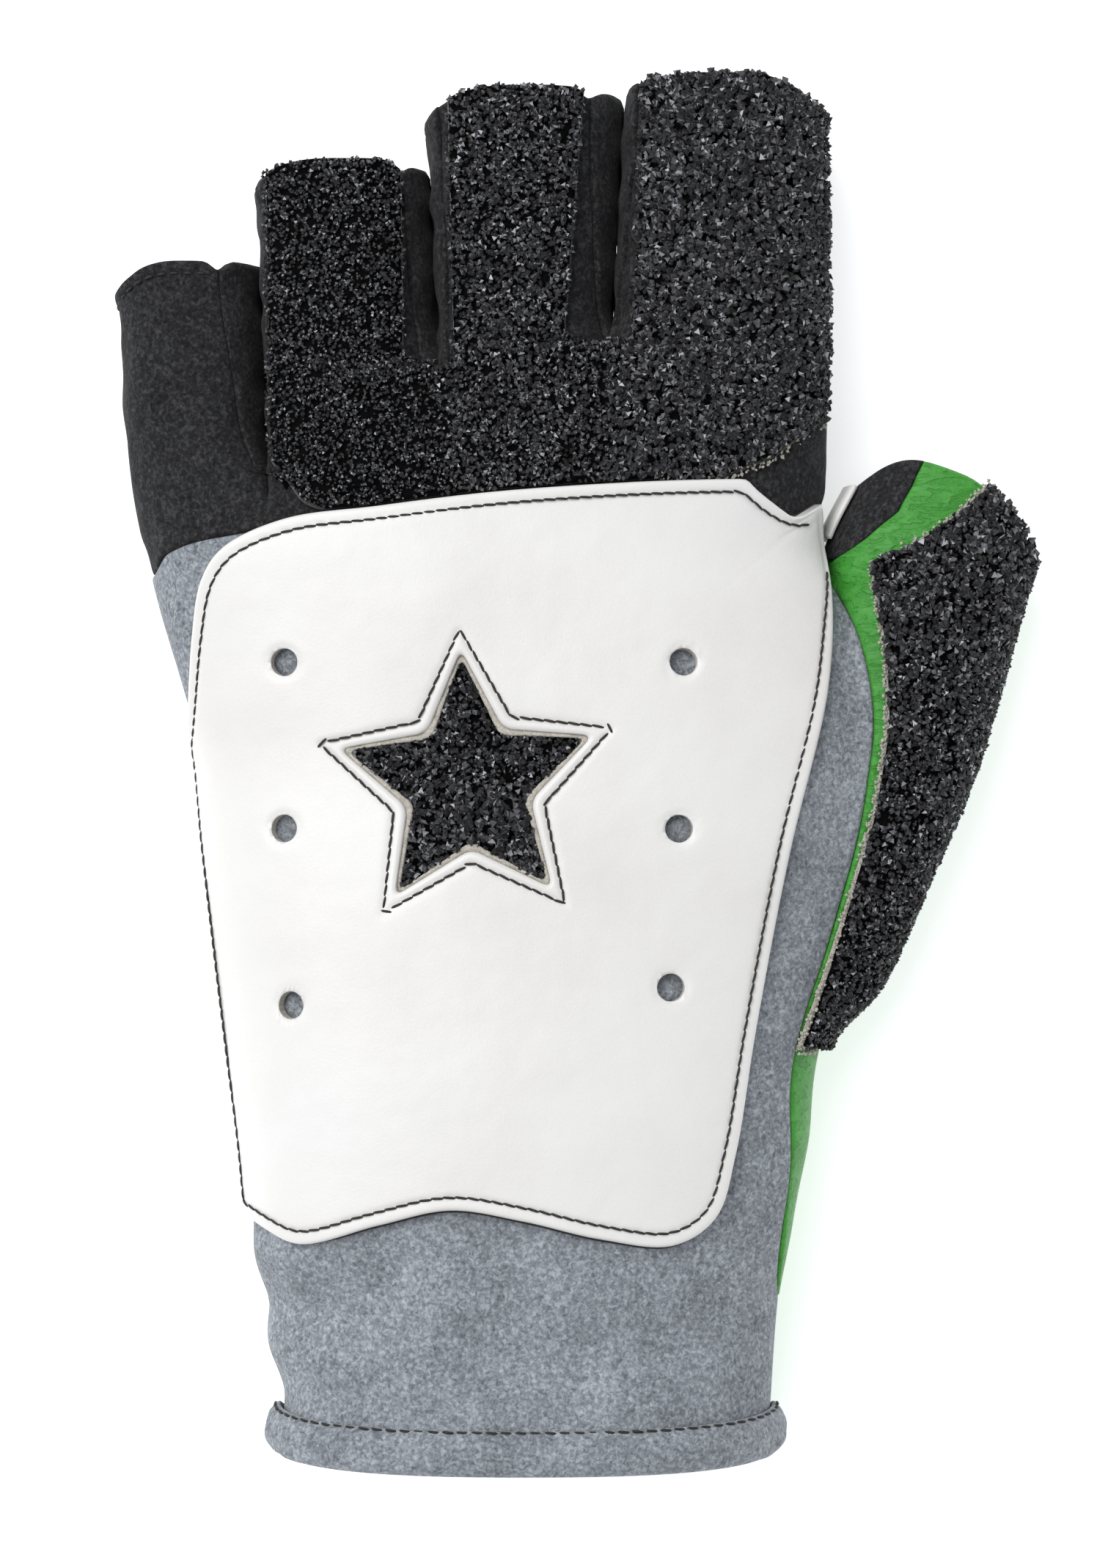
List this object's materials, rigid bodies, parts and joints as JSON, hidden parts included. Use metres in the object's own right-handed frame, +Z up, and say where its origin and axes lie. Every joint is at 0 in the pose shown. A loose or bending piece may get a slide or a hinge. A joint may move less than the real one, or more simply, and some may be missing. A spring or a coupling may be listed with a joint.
{
  "type": "half-finger sports glove",
  "caption": "Half-finger glove for the left hand with a stiff leather back panel, rubber grip patches on fingers and thumb and an open cuff.",
  "frame": {"origin": "on the table, under the middle of the glove's bounding box", "axes": "+Y from the cuff towards the fingers, +X towards the thumb, +Z up through the back of the hand"},
  "size_m": [0.1514, 0.2288, 0.0431],
  "materials": {
    "grey_suede": "napped blue-grey suede, matt and mottled",
    "black_suede": "black microfibre suede, matt",
    "green_leather": "fine pebbled leather, half gloss",
    "white_leather": "smooth white leather, soft gloss",
    "rubber_crumb": "black rubber crumb with wet glints",
    "thread": "dark twisted sewing thread",
    "textile": "pale fuzzy knit backing at cut edges"
  },
  "bodies": {
    "root": {"back_of_hand": "grey_suede", "cuff_hem": "grey_suede", "palm": "green_leather", "thumb": "green_leather", "thumb_lap": "black_suede", "thumb_strip": "white_leather", "finger_backs": "black_suede", "finger_palms": "black_suede", "fourchette_1": "black_suede", "fourchette_2": "black_suede", "fourchette_3": "black_suede", "back_panel": "white_leather", "star_grip": "rubber_crumb", "finger_grip": "rubber_crumb", "thumb_grip": "rubber_crumb"}
  },
  "joints": []
}
